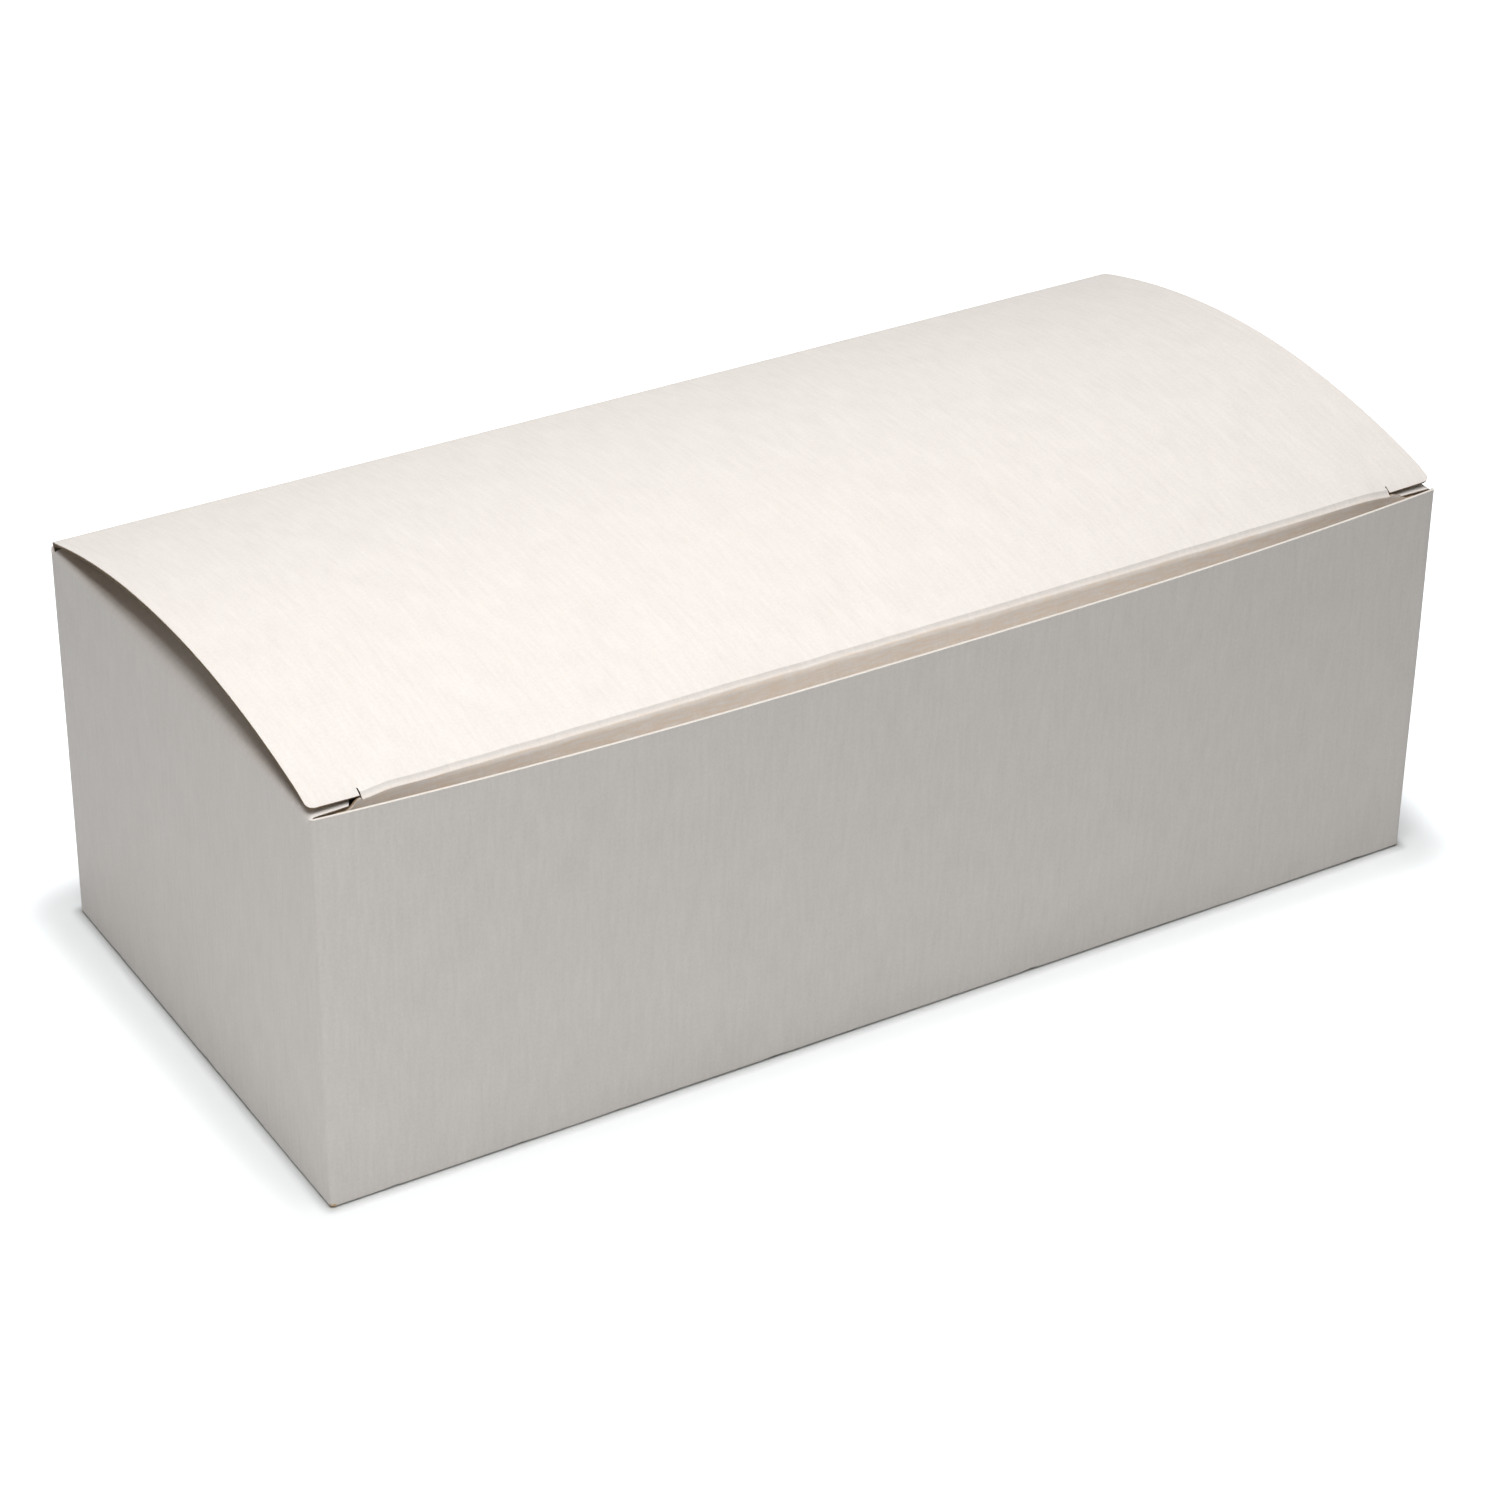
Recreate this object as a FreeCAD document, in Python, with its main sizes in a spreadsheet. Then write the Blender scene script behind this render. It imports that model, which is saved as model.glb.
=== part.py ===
"""A shut one-piece paperboard carton for sweets or pastry, with a slit-lock tuck lid.

One die-cut blank folds up into everything here, so the carton is one solid. It can't be
seen into, so it is solid up to its dust flaps. Above them an arched lid of real board
thickness runs from the back fold to the front crease, turns down there as the tuck flap and
hangs in the slot behind the front wall. An ear at each end of the crease, past a slit, stays
flat and locks over the dust flap.

Frame: +X along the length, -Y out of the front wall, +Z up, millimetres.
Origin: the middle of the carton's box, on the surface that it stands on.
"""
import FreeCAD, Part
import Sketcher
import math
import os

NODE = "carton"

# Driving dimensions in millimetres, each written once.
SIZES = {
    "carton_length": 177.8,
    "carton_depth": 82.55,
    "wall_height": 60.3,
    "board": 0.46,
    "fold_radius": 0.6,
    "front_bow": 3.3,            # the front wall's top edge stands out this far, mid-length
    "lid_inset": 0.7,            # lid's end, in from the side wall
    "crown_end": 7.2,            # lid's top above the dust flaps, at its ends
    "crown_mid": 5.6,            # and mid-length, where the board is pulled flatter
    "hinge_radius": 0.9,
    "hinge_lift": 0.1,           # hinge fold's centre above the dust flaps
    "crease_radius": 1.1,
    "crease_lift_end": 0.8,      # crease fold's centre above the dust flaps, at the slits
    "crease_lift_mid": 0.3,
    "crease_setback_end": 0.9,   # tuck's face at the crease, behind the front wall's foot
    "crease_setback_mid": 0.5,
    "tuck_depth": 14.0,
    "tuck_clearance": 0.2,       # tuck's free edge to the front wall
    "ear_length": 7.5,
    "ear_reach": 1.2,            # ear's raw edge past the crease line
    "ear_corner": 1.0,
    "slit_width": 0.4,
    "slit_hook": 0.8,            # how far the slit turns back into the lid
    "dust_gap": 0.25,            # dust flap's raw edge to the front wall, at the corner
    "dust_taper": 0.8,           # and how much further back that edge is at its shoulder
    "shoulder_length": 5.4,      # dust flap's full-width stretch beside the side wall
    "shoulder_run": 1.6,         # length in which its edge steps back for the tuck flap
    "slot_width": 3.2,           # stepped edge, behind the front wall's foot
    "slot_floor_gap": 0.5,       # tuck's free edge to the slot's floor
    "seam_width": 0.7,
    "seam_offset": 9.0,          # bottom flaps' edges, either side of the middle
    "seam_step": 7.0,            # half the length of the slanting step between them
    "seam_margin": 4.0,          # seam's end to the side wall
}

# Sizes worked out from the driving ones, as the sheet's own formulas.
DERIVED = {
    "half_length": "=carton_length / 2",
    "back_y": "=(carton_depth + front_bow) / 2",
    "front_y": "=(front_bow - carton_depth) / 2",
    "inner_radius": "=hinge_radius - board",
    "lid_root_z": "=wall_height - 1",
    "hinge_z": "=wall_height + hinge_lift",
    "slit_x": "=half_length - ear_length",
    "lid_end_x": "=half_length - lid_inset",
    "slit_share": "=slit_x / half_length",
    "mid_crown_z": "=wall_height + crown_mid",
    "slit_crown_z": "=mid_crown_z + (crown_end - crown_mid) * slit_share * slit_share",
    "end_crown_z": "=wall_height + crown_end",
    "slit_crease_y": "=front_y + crease_setback_end + crease_radius",
    "mid_crease_y": "=front_y + crease_setback_mid + crease_radius",
    "slit_crease_z": "=wall_height + crease_lift_end",
    "mid_crease_z": "=wall_height + crease_lift_mid",
    "slot_depth": "=tuck_depth + slot_floor_gap",
    "slot_floor_z": "=wall_height - slot_depth",
    "slot_bow": "=front_bow * slot_floor_z / wall_height",
    "tuck_foot_z": "=wall_height - tuck_depth",
    "wall_inner_y": "=front_y + board",
    "slit_foot_y": "=wall_inner_y + tuck_clearance - slot_bow * (1 - slit_share * slit_share)",
    "mid_foot_y": "=wall_inner_y + tuck_clearance - slot_bow",
    "slot_back_y": "=front_y + slot_width",
    "dust_edge_y": "=wall_inner_y + dust_gap",
    "shoulder_y": "=dust_edge_y + dust_taper",
    "slot_end_x": "=half_length - board - fold_radius",
    "shoulder_x": "=half_length - shoulder_length",
    "step_x": "=shoulder_x - shoulder_run",
    "slit_inner_x": "=slit_x - slit_width",
    "slit_front_y": "=slit_foot_y - tuck_clearance / 2",
    "slit_back_y": "=slit_crease_y + slit_hook",
    "slit_top_z": "=end_crown_z",
    "slit_cut": "=slit_top_z - slot_floor_z",
    "seam_end_x": "=half_length - seam_margin",
    "seam_near": "=seam_offset - seam_width / 2",
    "seam_far": "=seam_offset + seam_width / 2",
}


def make_sheet(doc):
    """The sheet of named sizes: plain numbers first, then what follows from them."""
    sheet = doc.addObject("Spreadsheet::Sheet", "Sizes")
    rows = list(SIZES.items()) + list(DERIVED.items())
    for row, (alias, value) in enumerate(rows, start=1):
        sheet.set("A%d" % row, alias)
        sheet.set("B%d" % row, str(value))
        sheet.setAlias("B%d" % row, alias)
    doc.recompute()
    return sheet


class SketchPen:
    """Draws into one sketch of a body and ties what it draws to the sheet of sizes.

    A size is given as the sheet's name for it, with a minus in front to mirror it.
    """

    def __init__(self, body, sheet, name, plane_role, station=None):
        self.sheet = sheet
        self.sketch = body.newObject("Sketcher::SketchObject", name)
        planes = [plane for plane in body.Origin.OriginFeatures if plane.Role == plane_role]
        self.sketch.AttachmentSupport = (planes[0], "")
        self.sketch.MapMode = "FlatFace"
        if station:
            self.sketch.setExpression("AttachmentOffset.Base.z", self.term(station))

    @staticmethod
    def term(size):
        """The sheet's expression for a size or a mirrored size."""
        if size.startswith("-"):
            return "-Sizes." + size[1:]
        return "Sizes." + size

    def value(self, size):
        """The present number of a size, for the first guess of a drawing."""
        if size.startswith("-"):
            return -float(self.sheet.get(size[1:]))
        return float(self.sheet.get(size))

    def spot(self, place):
        """The present place of a pair of sizes."""
        return tuple(self.value(size) for size in place)

    def line(self, start, end):
        """Add a straight edge."""
        ends = [FreeCAD.Vector(spot[0], spot[1], 0) for spot in (start, end)]
        return self.sketch.addGeometry(Part.LineSegment(*ends), False)

    def arc(self, centre, radius, start, end, construction=False):
        """Add an arc that runs anticlockwise between two angles in radians."""
        middle = FreeCAD.Vector(centre[0], centre[1], 0)
        circle = Part.Circle(middle, FreeCAD.Vector(0, 0, 1), radius)
        return self.sketch.addGeometry(Part.ArcOfCircle(circle, start, end), construction)

    def helper(self, spot):
        """Add a helper point."""
        return self.sketch.addGeometry(Part.Point(FreeCAD.Vector(spot[0], spot[1], 0)), True)

    def tie(self, kind, *where):
        """Add a constraint that has no size."""
        self.sketch.addConstraint(Sketcher.Constraint(kind, *where))

    def drive(self, kind, size, *where):
        """Add a constraint whose size follows the sheet."""
        constraint = Sketcher.Constraint(kind, *where, self.value(size))
        index = self.sketch.addConstraint(constraint)
        self.sketch.setExpression("Constraints[%d]" % index, self.term(size))

    def pin(self, edge, vertex, place):
        """Fix a vertex at named distances from the sketch's origin."""
        self.drive("DistanceX", place[0], -1, 1, edge, vertex)
        self.drive("DistanceY", place[1], -1, 1, edge, vertex)

    def chain(self, corners):
        """Straight edges from corner to corner, pinned and joined; returns the edges."""
        spots = [self.spot(corner) for corner in corners]
        edges = [self.line(start, end) for start, end in zip(spots, spots[1:])]
        for edge, corner in zip(edges, corners):
            self.pin(edge, 1, corner)
        self.pin(edges[-1], 2, corners[-1])
        for edge, following in zip(edges, edges[1:]):
            self.tie("Coincident", edge, 2, following, 1)
        return edges

    def loop(self, corners):
        """A closed outline of straight edges."""
        edges = self.chain(corners)
        closing = self.line(self.spot(corners[-1]), self.spot(corners[0]))
        self.tie("Coincident", edges[-1], 2, closing, 1)
        self.tie("Coincident", closing, 2, edges[0], 1)

    def bowed_loop(self, corners, bow):
        """A closed outline whose front edge bows outward.

        The corners run from the front edge's right end, round the back, to its left end.
        """
        edges = self.chain(corners)
        half, level = self.spot(corners[0])
        depth = self.value(bow)
        radius = (half * half + depth * depth) / (2 * depth)
        spread = math.asin(half / radius)
        down = 1.5 * math.pi
        front = self.arc((0, level - depth + radius), radius, down - spread, down + spread)
        self.tie("Coincident", front, 1, edges[-1], 2)
        self.tie("Coincident", front, 2, edges[0], 1)
        apex = self.helper((0, level - depth))
        self.tie("PointOnObject", apex, 1, front)
        self.tie("PointOnObject", apex, 1, -2)
        self.drive("DistanceY", bow, apex, 1, edges[0], 1)


def mirrored(corners):
    """Corners on the right, then the same ones on the left in the opposite order."""
    return corners + [("-" + across, along) for across, along in reversed(corners)]


def lid_section(body, sheet, name, station, crown, crease, foot=None):
    """An upright section of the lid's board at one station along the length.

    The board comes up as the back wall, turns over the hinge fold and arches forward. With a
    foot it turns down over the crease and is the tuck flap; without one it runs straight on
    past the crease line to a raw edge and is an ear.
    """
    pen = SketchPen(body, sheet, name, "YZ_Plane", station)
    board = pen.value("board")
    hinge_radius = pen.value("hinge_radius")
    crease_radius = pen.value("crease_radius")
    back = pen.value("back_y")
    root = pen.value("lid_root_z")
    top = pen.value(crown)
    hinge = (back - hinge_radius, pen.value("hinge_z"))
    fold = pen.spot(crease)

    # First guess of the arch: a circle through both folds' tops and the crown.
    span = hinge[0] - fold[0]
    rise = top - (hinge[1] + hinge_radius + fold[1] + crease_radius) / 2
    arch_radius = (span * span / 4 + rise * rise) / (2 * rise)
    arch = ((hinge[0] + fold[0]) / 2, top - arch_radius)
    behind = math.atan2(hinge[1] - arch[1], hinge[0] - arch[0])
    ahead = math.atan2(fold[1] - arch[1], fold[0] - arch[0])

    def on_arch(radius):
        return (arch[0] + radius * math.cos(ahead), arch[1] + radius * math.sin(ahead))

    # Outer face: riser, hinge fold, arch and the crease fold's circle.
    riser = pen.line((back, root), (back, hinge[1]))
    hinge_out = pen.arc(hinge, hinge_radius, 0, behind)
    arch_out = pen.arc(arch, arch_radius, behind, ahead)
    fold_out = pen.arc(fold, crease_radius, ahead, math.pi, construction=foot is None)
    pen.tie("Vertical", riser)
    pen.pin(riser, 1, ("back_y", "lid_root_z"))
    pen.tie("Tangent", riser, 2, hinge_out, 1)
    pen.drive("Radius", "hinge_radius", hinge_out)
    pen.drive("DistanceY", "hinge_z", -1, 1, hinge_out, 3)
    pen.tie("Tangent", hinge_out, 2, arch_out, 1)
    pen.tie("Tangent", arch_out, 2, fold_out, 1)
    pen.drive("Radius", "crease_radius", fold_out)
    pen.pin(fold_out, 3, crease)
    summit = pen.helper((arch[0], top))
    pen.tie("PointOnObject", summit, 1, arch_out)
    pen.tie("Vertical", summit, 1, arch_out, 3)
    pen.drive("DistanceY", crown, -1, 1, summit, 1)

    # Inner face, one board thickness inside the same centres.
    riser_in = pen.line((back - board, hinge[1]), (back - board, root))
    hinge_in = pen.arc(hinge, hinge_radius - board, 0, behind)
    arch_in = pen.arc(arch, arch_radius - board, behind, ahead)
    footing = pen.line((back - board, root), (back, root))
    pen.tie("Coincident", hinge_in, 3, hinge_out, 3)
    pen.tie("Coincident", arch_in, 3, arch_out, 3)
    pen.drive("Radius", "inner_radius", hinge_in)
    pen.tie("Tangent", hinge_in, 2, arch_in, 1)
    pen.tie("Tangent", riser_in, 1, hinge_in, 1)
    pen.tie("Vertical", riser_in)
    pen.tie("Coincident", riser_in, 2, footing, 1)
    pen.tie("Coincident", footing, 2, riser, 1)
    pen.tie("Horizontal", footing)

    # The end: an ear's straight reach, or the crease fold and the tuck flap.
    if foot is None:
        reach = pen.value("ear_reach")
        step = (-math.sin(ahead) * reach, math.cos(ahead) * reach)
        outer, inner = on_arch(arch_radius), on_arch(arch_radius - board)
        outer_tip = (outer[0] + step[0], outer[1] + step[1])
        inner_tip = (inner[0] + step[0], inner[1] + step[1])
        face_out = pen.line(outer, outer_tip)
        face_in = pen.line(inner_tip, inner)
        pen.tie("Tangent", arch_out, 2, face_out, 1)
        pen.drive("Distance", "ear_reach", face_out, 1, face_out, 2)
        pen.tie("Tangent", arch_in, 2, face_in, 2)
    else:
        outer_tip = pen.spot(foot)
        inner_tip = (outer_tip[0] + board, outer_tip[1])
        face_out = pen.line((fold[0] - crease_radius, fold[1]), outer_tip)
        face_in = pen.line(inner_tip, (fold[0] - crease_radius + board, fold[1]))
        fold_in = pen.arc(fold, crease_radius - board, ahead, math.pi)
        pen.tie("Tangent", fold_out, 2, face_out, 1)
        pen.pin(face_out, 2, foot)
        pen.tie("Coincident", fold_in, 3, fold_out, 3)
        pen.tie("Tangent", arch_in, 2, fold_in, 1)
        pen.tie("Tangent", fold_in, 2, face_in, 2)
        pen.tie("Parallel", face_in, face_out)
    raw = pen.line(outer_tip, inner_tip)
    pen.tie("Coincident", raw, 1, face_out, 2)
    pen.tie("Coincident", raw, 2, face_in, 1)
    pen.tie("Perpendicular", raw, face_out)
    return pen.sketch


def loft(body, kind, name, sections, ruled=True):
    """A loft through closed sketches, which run against their own normal: down or leftward."""
    feature = body.newObject(kind, name)
    feature.Profile = sections[0]
    feature.Sections = sections[1:]
    feature.Ruled = ruled
    return feature


def edges_where(shape, test):
    """Names of a shape's edges whose two ends both pass a test."""
    names = []
    for index, edge in enumerate(shape.Edges, start=1):
        ends = [vertex.Point for vertex in edge.Vertexes]
        if len(ends) == 2 and test(*ends):
            names.append("Edge%d" % index)
    return names


def fillet(body, base, name, radius, edges):
    """A fillet on named edges, its radius tied to the sheet."""
    feature = body.newObject("PartDesign::Fillet", name)
    feature.Base = (base, edges)
    feature.setExpression("Radius", "Sizes." + radius)
    return feature


def add_walls(body, sheet):
    """The block of walls, bottom and dust flaps, whose front wall bows out at the top."""
    corners = [("half_length", "front_y"), ("half_length", "back_y")]
    foot = SketchPen(body, sheet, "WallFoot", "XY_Plane")
    foot.loop(mirrored(corners))
    rim = SketchPen(body, sheet, "WallRim", "XY_Plane", "wall_height")
    rim.bowed_loop(mirrored(corners), "front_bow")
    return loft(body, "PartDesign::AdditiveLoft", "WallBlock", [rim.sketch, foot.sketch])


def add_folds(body, sheet, block):
    """Rounded folds: three upright corners, all round the bottom, and the dust flaps'.

    The fourth upright corner, at the back on the right, is the glued one: its outer panel
    ends there in a cut edge, so it stays sharp.
    """
    half = float(sheet.get("half_length"))
    back = float(sheet.get("back_y"))
    height = float(sheet.get("wall_height"))
    near = 0.001

    def folded(start, end):
        upright = abs(start.x - end.x) < near and abs(start.z - end.z) > near
        glued = upright and start.x > half - near and start.y > back - near
        low = max(start.z, end.z) < near
        side = abs(start.x - end.x) < near and min(start.z, end.z) > height - near
        return (upright and not glued) or low or side

    doc = body.Document
    doc.recompute()
    return fillet(body, block, "BoardFolds", "fold_radius", edges_where(block.Shape, folded))


def add_slot(body, sheet):
    """The slot behind the front wall, with the dust flaps' stepped front edges."""
    corners = [
        ("slot_end_x", "wall_inner_y"),
        ("slot_end_x", "dust_edge_y"),
        ("shoulder_x", "shoulder_y"),
        ("step_x", "slot_back_y"),
    ]
    mouth = SketchPen(body, sheet, "SlotMouth", "XY_Plane", "wall_height")
    mouth.bowed_loop(mirrored(corners), "front_bow")
    floor = SketchPen(body, sheet, "SlotFloor", "XY_Plane", "slot_floor_z")
    floor.bowed_loop(mirrored(corners), "slot_bow")
    return loft(body, "PartDesign::SubtractiveLoft", "TuckSlot", [mouth.sketch, floor.sketch])


def add_bottom_seam(body, sheet):
    """The seam between the two long bottom flaps, which hook into each other mid-length."""
    corners = [
        ("-seam_end_x", "seam_far"),
        ("-seam_step", "seam_far"),
        ("seam_step", "-seam_near"),
        ("seam_end_x", "-seam_near"),
        ("seam_end_x", "-seam_far"),
        ("seam_step", "-seam_far"),
        ("-seam_step", "seam_near"),
        ("-seam_end_x", "seam_near"),
    ]
    pen = SketchPen(body, sheet, "BottomSeamPath", "XY_Plane")
    pen.loop(corners)
    seam = body.newObject("PartDesign::Pocket", "BottomSeam")
    seam.Profile = pen.sketch
    seam.Reversed = True
    seam.setExpression("Length", "Sizes.board")
    return seam


def add_lid(body, sheet):
    """The arched lid with its crease and tuck flap between the slits, and an ear past each."""
    crease = ("slit_crease_y", "slit_crease_z")
    foot = ("slit_foot_y", "tuck_foot_z")
    sections = [
        lid_section(body, sheet, "LidRight", "slit_x", "slit_crown_z", crease, foot),
        lid_section(body, sheet, "LidMiddle", None, "mid_crown_z",
                    ("mid_crease_y", "mid_crease_z"), ("mid_foot_y", "tuck_foot_z")),
        lid_section(body, sheet, "LidLeft", "-slit_x", "slit_crown_z", crease, foot),
    ]
    loft(body, "PartDesign::AdditiveLoft", "LidAndTuck", sections, ruled=False)
    ends = [("lid_end_x", "end_crown_z"), ("slit_x", "slit_crown_z")]
    leftward = {"Right": ends, "Left": [("-" + x, crown) for x, crown in reversed(ends)]}
    for side, stations in leftward.items():
        names = [side + "EarEnd", side + "EarRoot"]
        ear = [lid_section(body, sheet, name, x, crown, crease)
               for name, (x, crown) in zip(names, stations)]
        loft(body, "PartDesign::AdditiveLoft", side + "Ear", ear)


def add_slits(body, sheet):
    """The slits that part the ears from the crease, each hooked back a little into the lid."""
    pen = SketchPen(body, sheet, "SlitPlan", "XY_Plane", "slit_top_z")
    for sign in ("", "-"):
        pen.loop([
            (sign + "slit_inner_x", "slit_front_y"),
            (sign + "slit_x", "slit_front_y"),
            (sign + "slit_x", "slit_back_y"),
            (sign + "slit_inner_x", "slit_back_y"),
        ])
    slits = body.newObject("PartDesign::Pocket", "LockSlits")
    slits.Profile = pen.sketch
    slits.setExpression("Length", "Sizes.slit_cut")
    return slits


def round_ears(body, sheet, base):
    """Round the ears' outer corners."""
    doc = body.Document
    end = float(sheet.get("lid_end_x"))
    front = float(sheet.get("slit_crease_y"))
    height = float(sheet.get("wall_height"))
    board = float(sheet.get("board"))
    near = 0.01

    def ear_corner(start, finish):
        at_end = max(abs(abs(start.x) - end), abs(abs(finish.x) - end)) < near
        through = start.distanceToPoint(finish) < 1.5 * board
        ahead = max(start.y, finish.y) < front
        return at_end and through and ahead and min(start.z, finish.z) > height

    doc.recompute()
    return fillet(body, base, "EarCorners", "ear_corner", edges_where(base.Shape, ear_corner))


def make_carton(doc, sheet):
    """The whole carton, one body."""
    body = doc.addObject("PartDesign::Body", "Carton")
    body.Label = NODE
    block = add_walls(body, sheet)
    add_folds(body, sheet, block)
    add_slot(body, sheet)
    add_bottom_seam(body, sheet)
    add_lid(body, sheet)
    slits = add_slits(body, sheet)
    round_ears(body, sheet, slits)
    body.Placement = FreeCAD.Placement()
    return body


def check(doc, bodies):
    """Stop before anything is written if an object failed or a shape isn't sound."""
    for item in doc.Objects:
        faults = [state for state in item.State if state in ("Invalid", "Error")]
        if faults:
            raise RuntimeError("%s failed to recompute: %s" % (item.Label, item.State))
    for body in bodies:
        shape = body.Shape
        if shape.isNull() or not shape.isValid() or len(shape.Solids) != 1:
            raise RuntimeError("%s has no sound single solid" % body.Label)


def main():
    """Build the document, check it and write one STEP file per node."""
    doc = FreeCAD.newDocument("CartonModel")
    sheet = make_sheet(doc)
    bodies = [make_carton(doc, sheet)]
    doc.recompute()
    check(doc, bodies)
    os.makedirs("parts", exist_ok=True)
    for body in bodies:
        body.Shape.exportStep("parts/%s.step" % body.Label)
        box = body.Shape.BoundBox
        print(body.Label, "volume %.1f mm3" % body.Shape.Volume, "faces", len(body.Shape.Faces))
        print("x %.2f to %.2f" % (box.XMin, box.XMax), "z up to %.2f" % box.ZMax)


main()
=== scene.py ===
"""The looks of a shut one-piece paperboard carton with a slit-lock tuck lid.

Every panel is a sheet of real board: a coated face outside, an uncoated side within and raw
edges where the die cut it. A sheet is a grid of points on the coated face. Rows climb the
blank, from the bottom flaps over the walls to the lid, and columns run round the carton.

Frame: +X along the length, -Y out of the front wall, +Z up, metres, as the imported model.
"""
import math

import bpy
import numpy as np
from mathutils import Matrix, Vector


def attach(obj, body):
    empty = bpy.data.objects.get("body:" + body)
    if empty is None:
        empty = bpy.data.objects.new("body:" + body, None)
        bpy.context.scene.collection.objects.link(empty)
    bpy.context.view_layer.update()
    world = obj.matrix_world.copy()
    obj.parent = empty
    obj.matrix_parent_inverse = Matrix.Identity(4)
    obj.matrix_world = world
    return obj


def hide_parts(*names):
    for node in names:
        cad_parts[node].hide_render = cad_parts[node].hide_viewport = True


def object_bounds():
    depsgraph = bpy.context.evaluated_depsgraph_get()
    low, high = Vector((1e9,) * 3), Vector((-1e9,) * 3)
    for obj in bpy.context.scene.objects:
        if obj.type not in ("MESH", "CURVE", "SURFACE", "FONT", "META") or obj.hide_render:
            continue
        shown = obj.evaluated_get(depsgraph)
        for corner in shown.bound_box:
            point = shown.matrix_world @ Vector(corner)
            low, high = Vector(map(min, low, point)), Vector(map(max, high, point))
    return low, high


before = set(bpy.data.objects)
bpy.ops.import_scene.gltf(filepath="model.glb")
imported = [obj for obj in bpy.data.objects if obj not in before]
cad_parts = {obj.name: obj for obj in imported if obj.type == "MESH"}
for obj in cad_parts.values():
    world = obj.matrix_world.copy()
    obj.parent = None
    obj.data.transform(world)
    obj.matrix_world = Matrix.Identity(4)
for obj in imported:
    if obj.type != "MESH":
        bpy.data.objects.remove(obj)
CAD_LOW, CAD_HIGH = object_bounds()

MM = 0.001
TINY = 1e-7                      # places closer than this are the same
WAVE_SPREAD = (0.7, 1.6)         # shortest and longest, as shares of a wave's usual length

# Board and folds.
BOARD = 0.38 * MM
FOLD = 0.6 * MM                  # radius of the upright corners
FOOT_FOLD = 0.3 * MM             # radius along the bottom
FRONT_BOW = 3.3 * MM
BOW_POWER = 2.6                  # how flat the bowed top edge is mid-length

# Walls.
GLUE_FLAP = 12.0 * MM
GLUED_EDGE = 0.15 * MM           # back wall's cut edge, short of the right wall's face
WALL_BULGE, BULGE_WAVE = 0.12 * MM, 70 * MM
LONG_LIFT = 0.2 * MM             # long walls' feet, above the table
SIDE_LIFT = 0.25 * MM            # side walls' feet hang above the long bottom flaps
SIDE_LIFT_RUN = 4 * MM           # the long walls' feet rise to that this near the ends
FOOT_FADE = 1.2 * MM             # how far up a wall its foot's unevenness fades
FOOT_UNEVEN, FOOT_WAVE = 0.06 * MM, 30 * MM
NICK_PITCH, NICK_SHIFT = 23 * MM, 18 * MM  # spacing of the feet's nicks, and its play
NICK_HEIGHTS = (0.08, 0.22)      # in mm
NICK_WIDTHS = (0.5, 1.6)         # in mm
FOOT_WEAR, FOOT_WEAR_WIDTH = 0.35, 1.0 * MM
CORNER_WEAR = 0.25
CRUSHED, KNOCKED = 0.6, 0.3      # wear at the front-left foot, and at the others
KNOCK_WIDTH = 0.38 * MM

# Lid: its arch between the hinge at the back and the crease at the front.
CROWN_END = 7.2 * MM
CROWN_MID = 5.6 * MM
LID_INSET = 0.15 * MM
LID_ROOT = 1.0 * MM              # lid's piece starts this far below the dust flaps
ROOT_INSET = 0.55 * MM           # lid's ends draw in this much more at the hinge
ROOT_RUN = 5 * MM
HINGE = 0.9 * MM
HINGE_LIFT = 0.1 * MM
CREASE = 1.0 * MM
CREASE_LIFT_END = 0.6 * MM
CREASE_LIFT_MID = 0.35 * MM
CREASE_SETBACK_END = 0.85 * MM
CREASE_SETBACK_MID = 0.6 * MM
CREASE_FLAT = math.radians(62)   # turn of the crease that the score pressed flat
CREASE_HOLLOW = 1.4              # 1 would press it to a straight chord
ARCH_RADII, HALVINGS = (1 * MM, 10.0), 60  # where the arch's radius is sought, and how finely
LID_UNEVEN, LID_WAVE = 0.10 * MM, 60 * MM
CRINKLE, CRINKLE_WAVE, CRINKLE_WIDTH = 0.05 * MM, 9 * MM, 2.0 * MM
HINGE_WEAR, HINGE_WEAR_PLACE, HINGE_WEAR_WIDTH = 0.3, 2.0 * MM, 1.2 * MM
RIDGE_WEAR, RIDGE_WEAR_WIDTH = 0.5, 0.25 * MM

# Tuck flap.
TUCK_DEPTH = 14.0 * MM
TUCK_TOUCH = 7.5 * MM            # how far down the tuck flap meets the front wall
TUCK_LEAN = 1.15                 # its line above that; 1 would be straight
TUCK_CLEARANCE = 0.2 * MM
TUCK_END = 1.9 * MM              # tuck flap's corners, short of the carton's ends
TUCK_CORNER, TUCK_CORNER_DROP = 2 * MM, 2.5 * MM
TUCK_EASE = 2.6 * MM             # run beside a slit where the tuck flap comes to the front wall
TUCK_DROP = 0.15 * MM            # its shoulders, below the walls' tops
TUCK_PRESS = 0.12 * MM           # its shoulders, nearer the front wall than the rest
BOUNCE_POWER = 3                    # how late the painted warm bounce light sets in on the way over the crease

# Ears and slits.
EAR_LENGTH = 7.4 * MM
EAR_REACH = 1.05 * MM            # from a slit's hook to the ear's front edge
EAR_CORNER = 1.0 * MM
EAR_DROOP = 0.62 * MM
EAR_TIP_RISE = 0.3               # share of the droop that is gone at an ear's outer end
EAR_BEND = 5.0 * MM              # length of lid that bends down to an ear's edge
EAR_BEND_POWER = 3
EAR_FADE = 2.5 * MM              # how far past a slit the lid bends with its ear
SLIT_WIDTH = 0.2 * MM
SLIT_HOOK = 0.7 * MM

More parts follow.
